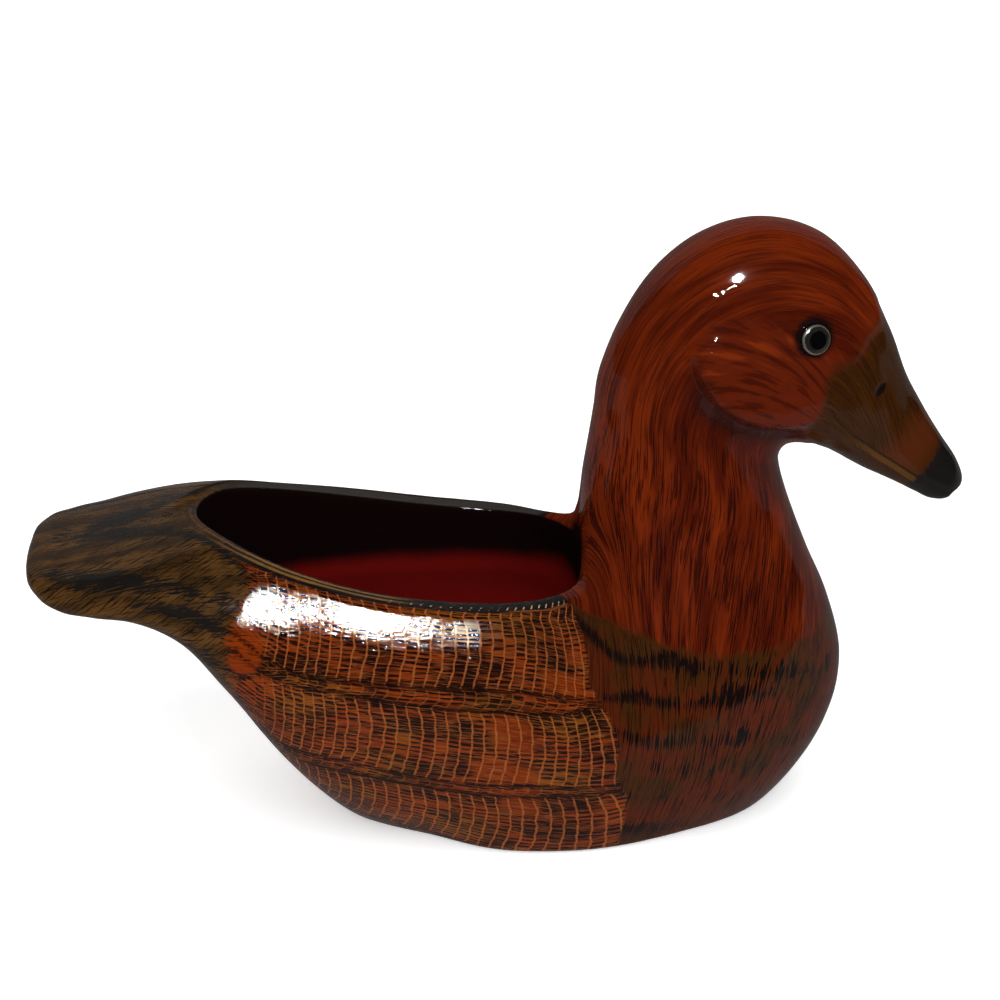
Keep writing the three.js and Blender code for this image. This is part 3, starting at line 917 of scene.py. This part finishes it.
def netDashes(tree, m, heavy, cell, feather, down, narrow):
    row = times(tree, down, timesPlus(tree, narrow, net["narrowRows"] - net["rows"], net["rows"]))
    row = timesPlus(tree, chance(tree, vector(tree, cell, feather, 1)), net["rowJitter"], row)
    row = timesPlus(tree, clouded(tree, m, "drift"), net["rowDrift"], row)
    weight = chance(tree, vector(tree, cell, calc(tree, "FLOOR", row), plus(tree, feather, 0.5)))
    thick = timesPlus(tree, heavy, net["dashHeavier"], net["dashThick"])
    thick = timesPlus(tree, weight, net["dashVaries"], thick)
    fromRow = calc(tree, "ABSOLUTE", minus(tree, calc(tree, "FRACT", row), 0.5))
    dash = fade(tree, minus(tree, fromRow, thick), 0.06, -0.06)
    dash = times(tree, dash, fade(tree, weight, 0.04, 0.2))
    return times(tree, dash, timesPlus(tree, m["plain"], -0.9, 1))


def wingPaint(tree, m):
    feather = calc(tree, "FLOOR", m["feather"])
    down = calc(tree, "FRACT", m["feather"])
    narrow = calc(tree, "MODULO", feather, 2)
    ragged = brushed(tree, m, "ragged")
    line, cell = netLines(tree, m, clouded(tree, m, "wobble"), ragged, feather, down, narrow)
    heavy = fade(tree, clouded(tree, m, "heavy"), 0.4, 0.62)
    dash = netDashes(tree, m, heavy, cell, feather, down, narrow)
    dragged = brushed(tree, m, "dragged")
    dragDark = fade(tree, dragged, 0.54, 0.6)
    glow = timesPlus(tree, dragged, ember["frayed"], awaySquared(tree, m, ember["place"], ember["halves"]))
    glow = times(tree, fade(tree, glow, *ember["edge"]), ember["strength"])

    ground = mixed(tree, heavy, "netOrange", "netBrown")
    gold = fade(tree, clouded(tree, m, "gold"), 0.5, 0.66)
    crown = times(tree, fade(tree, m["feather"], 0.5, 0.15), fade(tree, m["along"], 138, 156))
    crown = times(tree, crown, fade(tree, m["along"], 205, 180))
    ground = lay(tree, ground, "netGold", larger(tree, gold, crown), 0.75)
    ground = lay(tree, ground, "netOrange", m["plain"], 0.6)
    ground = lay(tree, ground, "netDash", dragDark, 0.5)
    ground = lay(tree, ground, "netDash", dash, 0.92)
    ground = lay(tree, ground, "netLine", fade(tree, brushed(tree, m, "scratch"), 0.54, 0.62), 0.45)
    ground = lay(tree, ground, "emberPatch", glow)
    ground = lay(tree, ground, "netDash", times(tree, glow, dragDark), 0.8)
    shown = timesPlus(tree, clouded(tree, m, "wear"), 0.9, 0.28)
    shown = times(tree, shown, timesPlus(tree, glow, -0.7, 1))
    ground = lay(tree, ground, "netLine", times(tree, line, shown))
    border = fade(tree, frayed(tree, dragged, 5, m["lineGap"]), 1.1, 0.5)
    ground = lay(tree, ground, "netDash", border, 0.85)
    black = fade(tree, minus(tree, m["fromEdge"], net["topEdge"]), 0.5, -0.5)
    return lay(tree, ground, "rimBlack", black), times(tree, ragged, net["brushRelief"])


# Stripes along the rim: how far from the edge of the opening, and half their width; the one on the lip is a
# painted highlight
rimMarks = {
    "lip": (0.7, 0.5), "upperGold": (2.3, 0.55), "lowerGold": (4.6, 0.5), "dots": (4.9, 0.8),
    "last": (6.4, 0.3),
    "soft": 0.35, "dotPitch": 3.36, "dotSlant": 0.6, "dotEdge": (0.4, 0.1),
}


def rimStripe(tree, edge, name):
    place, half = rimMarks[name]
    gap = calc(tree, "ABSOLUTE", minus(tree, edge, place))
    return fade(tree, gap, half + rimMarks["soft"], half - rimMarks["soft"])


def rimPaint(tree, m, place):
    drag = brushed(tree, m, "rim")
    edge = frayed(tree, drag, 1.6, m["fromEdge"])
    worn = fade(tree, grain(tree, place, scale=420, detail=3), 0.56, 0.68)
    colour = mixed(tree, times(tree, worn, 0.5), "rimBlack", "rimWorn")
    # Painted sheen: grey over the far rim, and a grey line along the lip's edge
    farRimSheen = times(tree, fade(tree, m["girth"], -6, 6), fade(tree, edge, 6.5, 4.5))
    colour = lay(tree, colour, "rimSheen", farRimSheen, 0.7)
    colour = lay(tree, colour, "rimSheen", rimStripe(tree, edge, "lip"), 0.6)
    rear = times(tree, fade(tree, m["along"], 155, 135), fade(tree, m["girth"], 6, -6))
    gold = larger(tree, rimStripe(tree, edge, "upperGold"), rimStripe(tree, edge, "lowerGold"))
    colour = lay(tree, colour, "rimGold", times(tree, gold, rear), 0.8)
    nearSide = fade(tree, m["girth"], 0, -10)
    ahead = times(tree, fade(tree, m["along"], 176, 190), nearSide)
    colour = lay(tree, colour, "netLine", times(tree, rimStripe(tree, edge, "last"), ahead), 0.7)
    run = over(tree, timesPlus(tree, m["fromEdge"], rimMarks["dotSlant"], m["along"]), rimMarks["dotPitch"])
    fromDot = times(tree, calc(tree, "PINGPONG", run, 0.5), rimMarks["dotPitch"])
    dots = times(tree, fade(tree, fromDot, *rimMarks["dotEdge"]), rimStripe(tree, m["fromEdge"], "dots"))
    sparse = times(tree, fade(tree, m["along"], 136, 146), fade(tree, drag, 0.52, 0.56))
    dots = times(tree, dots, times(tree, larger(tree, ahead, sparse), fade(tree, drag, 0.4, 0.5)))
    return lay(tree, colour, "dot", times(tree, dots, nearSide))


def breastPaint(tree, m, hatch):
    ground = mixed(tree, fade(tree, clouded(tree, m, "breast"), 0.35, 0.6), "olive", "rust")
    nearRed = times(tree, fade(tree, m["pastRed"], -14, -8), fade(tree, m["side"], 95, 75))
    ground = lay(tree, ground, "olive", nearRed, 0.6)
    ground = lay(tree, ground, "redStroke", fade(tree, hatch, 0.52, 0.6), 0.75)
    dark = frayed(tree, hatch, 2.6, m["breastDark"])
    return lay(tree, ground, "ink", fade(tree, dark, 0.5, 0.72), 0.95)


# The red of neck and head: painted light makes it brighter along the back, it is a little darker over the
# head, with slanted daubs, and a painted shadow and a painted sheen in the crease at the cheek
def redPaint(tree, m, fine):
    tone = timesPlus(tree, brushed(tree, m, "tone"), 0.5, brushed(tree, m, "streak"))
    # Painted light: brighter along the back line; then a little darker over the head
    tone = plus(tree, tone, fade(tree, m["side"], 48, 8, 0, 0.3))
    tone = plus(tree, tone, fade(tree, m["along"], 320, 350, 0, -0.14))
    ground = mixed(tree, fade(tree, tone, 0.55, 1.0), "redDeep", "redBright")
    ground = lay(tree, ground, "cheekRed", m["cheek"], 0.85)
    lines = fade(tree, timesPlus(tree, brushed(tree, m, "drawn"), 0.4, fine), 0.7, 0.77)
    lines = times(tree, lines, timesPlus(tree, m["cheek"], -0.75, 0.8))
    ground = lay(tree, ground, "redStroke", times(tree, lines, fade(tree, m["along"], 325, 355, 1, 0.6)))
    slantAlong, slantDown = 0.64, 0.77
    daubLong = timesPlus(tree, m["along"], slantAlong, times(tree, m["side"], slantDown))
    daubAcross = timesPlus(tree, m["side"], slantAlong, times(tree, m["along"], -slantDown))
    daub = strokes(tree, daubLong, daubAcross, *daubs)
    glow = times(tree, fade(tree, daub, 0.46, 0.34), fade(tree, m["side"], 58, 46))
    ground = lay(tree, ground, "cheekGlow", times(tree, glow, m["cheek"]), 0.8)
    ground = lay(tree, ground, "redStroke", times(tree, fade(tree, daub, 0.5, 0.62), m["cheek"]), 0.6)
    # Painted shadow in the crease under the cheek's edge
    ground = lay(tree, ground, "creaseShadow", m["crease"], 0.95)
    # A painted sheen along the crease, stronger where the red is lighter
    sheen = timesPlus(tree, minus(tree, tone, 0.75), 0.8, m["crease"])
    return lay(tree, ground, "paintedCreaseSheen", fade(tree, sheen, 0.6, 1.0), 0.4)


def tailPaint(tree, m, sweep):
    ground = mixed(tree, fade(tree, clouded(tree, m, "tail"), 0.35, 0.65), "tailOlive", "tailGold")
    slant = timesPlus(tree, m["along"], 0.5, m["side"])
    ground = lay(tree, ground, "ink", fade(tree, strokes(tree, m["along"], slant, *barbs), 0.52, 0.6), 0.8)
    ground = lay(tree, ground, "ink", fade(tree, sweep, 0.54, 0.62), 0.6)
    dark = frayed(tree, sweep, 2.2, times(tree, m["tailDark"], 0.85))
    return lay(tree, ground, "tailBand", fade(tree, dark, 0.36, 0.62), 0.92)


def billPaint(tree, m, x, z):
    smear = brushed(tree, m, "smear")
    ground = mixed(tree, fade(tree, smear, 0.35, 0.7), "billDeep", "billOlive")
    across = frayed(tree, smear, 12, m["pastBand"])
    band = times(tree, fade(tree, across, -4, 4), fade(tree, across, 15, 6))
    ground = lay(tree, ground, "billBand", times(tree, band, fade(tree, m["mouth"], -0.5, 0.5)), 0.7)
    edge = fade(tree, calc(tree, "ABSOLUTE", plus(tree, m["mouth"], 1.7)), 1.6, 0.5)
    ground = lay(tree, ground, "billEdge", times(tree, edge, fade(tree, m["along"], 392, 425)), 0.65)
    ground = lay(tree, ground, "billNail", fade(tree, frayed(tree, smear, 4, m["pastNail"]), -0.8, 0.8))
    ground = lay(tree, ground, "ink", fade(tree, calc(tree, "ABSOLUTE", m["mouth"]), 0.7, 0.15), 0.5)
    turn = math.radians(finerCarving["nostrilTurn"])
    dx = minus(tree, over(tree, x, mm), finerCarving["nostril"][0])
    dz = minus(tree, over(tree, z, mm), finerCarving["nostril"][1])
    longWay = timesPlus(tree, dx, math.cos(turn), times(tree, dz, math.sin(turn)))
    shortWay = timesPlus(tree, dx, -math.sin(turn), times(tree, dz, math.cos(turn)))
    paintLength, paintWidth = finerCarving["nostrilPaint"]
    hole = sumOfSquares(tree, over(tree, longWay, paintLength), over(tree, shortWay, paintWidth))
    return lay(tree, ground, "ink", fade(tree, hole, 1.5, 0.6), 0.9)


# The varnish: its runs and blobs and a dull place as (along, down the side), (half length, half height)
varnish = {
    "runs": [((292, 39), (9, 3)), ((322, 37), (9, 2.5)), ((365, 39), (5, 5)), ((372, 25), (8, 2))],
    "runHeight": 4.5, "runScale": 380, "dull": ((228, 49), (10, 10)), "poreScale": 900, "poreHeight": 1.2,
    "swellScale": 260, "swellHeight": 0.15, "netHeight": 0.55, "coatDepth": 0.3, "paintDepth": 0.2,
    "shader": {"IOR": 1.45, "Specular IOR Level": 0.0, "Coat Roughness": 0.05, "Coat IOR": 1.45},
}
# Painted shade round the eyes: how far behind and above the eye its middle is, where it is full and where it
# ends
eyeShade = {"behind": 0.6, "above": 0.7, "full": 5.4, "end": 8.2}


# Each paint in its place, from tail to bill
def sidePaints(tree, m, place, marks):
    x, y, z = axesOf(tree, place)
    fine, hatch, sweep, broad = marks
    colour, relief = wingPaint(tree, m)
    pastTail = frayed(tree, sweep, 22, m["pastTail"])
    colour = blend(tree, fade(tree, pastTail, 0.6, -0.6), colour, tailPaint(tree, m, sweep))
    pastWing = fade(tree, frayed(tree, hatch, 5, m["pastWing"]), -0.4, 0.4)
    colour = blend(tree, pastWing, colour, breastPaint(tree, m, hatch))
    pastRed = fade(tree, frayed(tree, hatch, 14, m["pastRed"]), -1, 1)
    colour = blend(tree, pastRed, colour, redPaint(tree, m, fine))
    pastBill = fade(tree, frayed(tree, broad, 6, m["pastBill"]), -3, 2.5)
    colour = blend(tree, pastBill, colour, billPaint(tree, m, x, z))

    fromEye = addNode(tree, "ShaderNodeVectorMath", operation="DISTANCE")
    join(tree, fromEye.inputs[0], vector(tree, x, calc(tree, "ABSOLUTE", y), z))
    # Painted shade in the hollow round each eye, centred a little behind and above it
    eyeShadeCentre = (eye["x"] - eyeShade["behind"], eye["y"], eye["z"] + eyeShade["above"])
    fromEye.inputs[1].default_value = [value * mm for value in eyeShadeCentre]
    eyeShadow = fade(tree, fromEye.outputs["Value"], eyeShade["end"] * mm, eyeShade["full"] * mm)
    colour = lay(tree, colour, "ink", eyeShadow, 0.92)

    # The hollow is red, with painted shade darkening its walls from about 70 mm up, starting 3 mm higher
    # toward the front
    height = plus(tree, over(tree, z, mm), fade(tree, x, 0.008, 0.026, 0, -3))
    inside = mixed(tree, fade(tree, timesPlus(tree, broad, 3, height), 66.5, 73), "hollowRed", "hollowWallShade")
    colour = blend(tree, fade(tree, m["hollow"], 0.35, 0.75), colour, inside)
    nearRim = fade(tree, minus(tree, m["fromEdge"], net["topEdge"]), 0.4, -0.4)
    nearRim = times(tree, nearRim, fade(tree, m["pastRed"], -1, -9))
    nearRim = times(tree, nearRim, fade(tree, pastTail, -10, 10))
    nearRim = times(tree, nearRim, fade(tree, m["hollow"], 0.6, 0.3))
    colour = blend(tree, nearRim, colour, rimPaint(tree, m, place))
    return lay(tree, colour, "foot", fade(tree, m["foot"], 0.3, 0.7)), relief


def varnishHeight(tree, m, place, relief):
    netShare = times(tree, fade(tree, m["pastWing"], 0.4, -0.4), fade(tree, m["pastTail"], -4, 4))
    netShare = times(tree, netShare, fade(tree, plus(tree, m["hollow"], m["rim"]), 0.4, 0.1))
    pores = grain(tree, place, scale=varnish["poreScale"], detail=3, roughness=0.6)
    swell = times(tree, grain(tree, place, scale=varnish["swellScale"]), varnish["swellHeight"])
    height = times(tree, timesPlus(tree, pores, varnish["poreHeight"], relief), netShare)
    height = timesPlus(tree, height, varnish["netHeight"], swell)
    blobs = times(tree, grain(tree, place, scale=varnish["runScale"]), varnish["runHeight"])
    for start, halves in varnish["runs"]:
        height = timesPlus(tree, blobs, spot(tree, m, start, halves, 0.4), height)
    return height


def duckFinish(names):
    finish, tree = newFinish("lacquered_duck_paint")
    m = {name: measure(tree, name) for name in names}
    place = addNode(tree, "ShaderNodeTexCoord").outputs["Object"]
    fine, hatch, sweep = (brushed(tree, m, name) for name in ("fine", "hatch", "sweep"))
    broad = grain(tree, place, scale=70, detail=3)
    colour, relief = sidePaints(tree, m, place, (fine, hatch, sweep, broad))
    shader = addNode(tree, "ShaderNodeBsdfPrincipled")
    for name, value in varnish["shader"].items():
        shader.inputs[name].default_value = value
    join(tree, shader.inputs["Base Color"], colour)
    join(tree, shader.inputs["Roughness"], fade(tree, broad, 0.3, 0.7, 0.38, 0.55))
    farRim = times(tree, fade(tree, m["fromEdge"], 9.5, 7), fade(tree, m["girth"], -2, 6))
    dull = larger(tree, fade(tree, m["hollow"], 0.3, 0.8), times(tree, farRim, 0.95))
    dull = larger(tree, dull, spot(tree, m, *varnish["dull"], 0.5))
    join(tree, shader.inputs["Coat Weight"], minus(tree, 1, dull))
    coatHeight = varnishHeight(tree, m, place, relief)
    join(tree, shader.inputs["Coat Normal"], bump(tree, coatHeight, varnish["coatDepth"]))
    join(tree, shader.inputs["Normal"], bump(tree, fine, varnish["paintDepth"]))
    endFinish(tree, shader)
    return finish


# The glass of the eyes, with how far from the middle each colour goes
eyeColours = {"pupil": paint(5, 5, 6), "iris": paint(30, 28, 26), "ring": paint(84, 79, 68)}
eyePaint = {"pupilEdge": (2.9, 3.5), "ringStart": (4.4, 4.65), "ringEnd": (5.15, 4.95), "uneven": 0.5}


def eyeFinish():
    finish, tree = newFinish("eye_glass")
    place = addNode(tree, "ShaderNodeTexCoord").outputs["Object"]
    radius = timesPlus(tree, grain(tree, place, scale=700), eyePaint["uneven"], measure(tree, "fromMiddle"))
    ring = times(tree, fade(tree, radius, *eyePaint["ringStart"]), fade(tree, radius, *eyePaint["ringEnd"]))
    colour = blend(tree, fade(tree, radius, *eyePaint["pupilEdge"]), eyeColours["pupil"], eyeColours["iris"])
    shader = addNode(tree, "ShaderNodeBsdfPrincipled")
    join(tree, shader.inputs["Base Color"], blend(tree, ring, colour, eyeColours["ring"]))
    join(tree, shader.inputs["Roughness"], fade(tree, ring, 0, 1, 0.08, 0.3))
    shader.inputs["Coat Weight"].default_value = 1.0
    shader.inputs["Coat Roughness"].default_value = 0.02
    endFinish(tree, shader)
    return finish


body, measureNames = buildBody()
body.name = "carved_body"
body.data.materials.clear()
body.data.materials.append(duckFinish(measureNames))
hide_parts("duck_body")
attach(body, "root")
glass = eyeFinish()
for name, hand, node in (("right_glass_eye", -1, "right_eye"), ("left_glass_eye", 1, "left_eye")):
    piece = buildEye(name, hand)
    piece.data.materials.append(glass)
    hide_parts(node)
    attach(piece, "root")
print("body and eyes ready")


studio = {
    "floorHalf": 3.0, "coveStart": 0.9, "coveRadius": 0.4, "coveSteps": 12, "coveTop": 2.2,
    "floorGlow": 0.45, "backdropGlow": 1.0, "paper": (0.86, 0.86, 0.86, 1),
    "lookAt": (0.0009, 0, 0.105), "distance": 0.9, "elevation": 25, "azimuth": -3.7, "lens": 98.8,
    "window": (0.004, -0.34, 0.535), "windowSize": (0.05, 0.06), "windowAim": (-0.02, -0.02, 0.1),
    "windowTurn": 25, "windowPower": 16,
    "fill": (0.15, -1.25, 1.5), "fillSize": (2.2, 2.2), "fillPower": 40,
    "back": (0, 1.3, 0.75), "backSize": (3.4, 1.5), "backPower": 1.8, "world": 0.2,
    "under": (0, 1.35, -0.05), "underSize": (6, 3.2), "underPower": 7.2, "underAim": (0, 1.35, 1),
}


# A strip swept sideways, which shows in no reflection
def buildPaper(name, outline, glow):
    bm = bmesh.new()
    half = studio["floorHalf"]
    profile = [bm.verts.new((-half, y, z)) for y, z in outline]
    edges = [bm.edges.new(pair) for pair in zip(profile[:-1], profile[1:])]
    swept = bmesh.ops.extrude_edge_only(bm, edges=edges)["geom"]
    moved = [part for part in swept if isinstance(part, bmesh.types.BMVert)]
    bmesh.ops.translate(bm, vec=(2 * half, 0, 0), verts=moved)
    bmesh.ops.recalc_face_normals(bm, faces=bm.faces)
    paper = finishMesh(name, bm)
    paper.data.shade_smooth()
    paper.visible_glossy = False
    finish = bpy.data.materials.new(name + "_paper")
    finish.use_nodes = True
    shader = finish.node_tree.nodes["Principled BSDF"]
    shader.inputs["Base Color"].default_value = studio["paper"]
    shader.inputs["Roughness"].default_value = 0.9
    shader.inputs["Specular IOR Level"].default_value = 0.1
    shader.inputs["Emission Color"].default_value = (1, 1, 1, 1)
    shader.inputs["Emission Strength"].default_value = glow
    paper.data.materials.append(finish)


def buildBackdrop():
    start, radius = studio["coveStart"], studio["coveRadius"]
    rise = [math.pi / 2 * step / studio["coveSteps"] for step in range(studio["coveSteps"] + 1)]
    cove = [(start + radius * math.sin(a), radius * (1 - math.cos(a))) for a in rise]
    buildPaper("studio_floor", [(-studio["floorHalf"], 0), (start, 0)], studio["floorGlow"])
    buildPaper("studio_backdrop", cove + [(start + radius, studio["coveTop"])], studio["backdropGlow"])


def addLight(name, aim):
    light = bpy.data.lights.new(name, "AREA")
    light.shape = "RECTANGLE"
    light.size, light.size_y = studio[name + "Size"]
    light.energy = studio[name + "Power"]
    lamp = bpy.data.objects.new(name + "_light", light)
    bpy.context.scene.collection.objects.link(lamp)
    lamp.location = studio[name]
    lamp.rotation_euler = (Vector(aim) - lamp.location).to_track_quat("-Z", "Y").to_euler()
    return lamp


buildBackdrop()
window = addLight("window", studio["windowAim"])
window.visible_diffuse = False
window.rotation_euler.rotate_axis("Z", math.radians(studio["windowTurn"]))
addLight("fill", studio["lookAt"]).visible_glossy = False
behind = addLight("back", studio["lookAt"])
behind.visible_diffuse = False
behind.visible_camera = False
below = addLight("under", studio["underAim"])
below.visible_diffuse = False
below.visible_camera = False
world = bpy.data.worlds.new("soft_room")
world.use_nodes = True
background = world.node_tree.nodes["Background"]
background.inputs[0].default_value = (1, 1, 1, 1)
background.inputs[1].default_value = studio["world"]
world.cycles_visibility.glossy = False
bpy.context.scene.world = world

camera = bpy.data.objects.new("camera", bpy.data.cameras.new("camera"))
bpy.context.scene.collection.objects.link(camera)
azimuth, elevation = math.radians(studio["azimuth"]), math.radians(studio["elevation"])
level = math.cos(elevation)
toCamera = Vector((math.sin(azimuth) * level, -math.cos(azimuth) * level, math.sin(elevation)))
camera.location = Vector(studio["lookAt"]) + toCamera * studio["distance"]
camera.rotation_euler = (-toCamera).to_track_quat("-Z", "Y").to_euler()
camera.data.sensor_width = 36
camera.data.lens = studio["lens"]
bpy.context.scene.camera = camera
bpy.context.scene.view_settings.view_transform = "Standard"
print("studio ready")
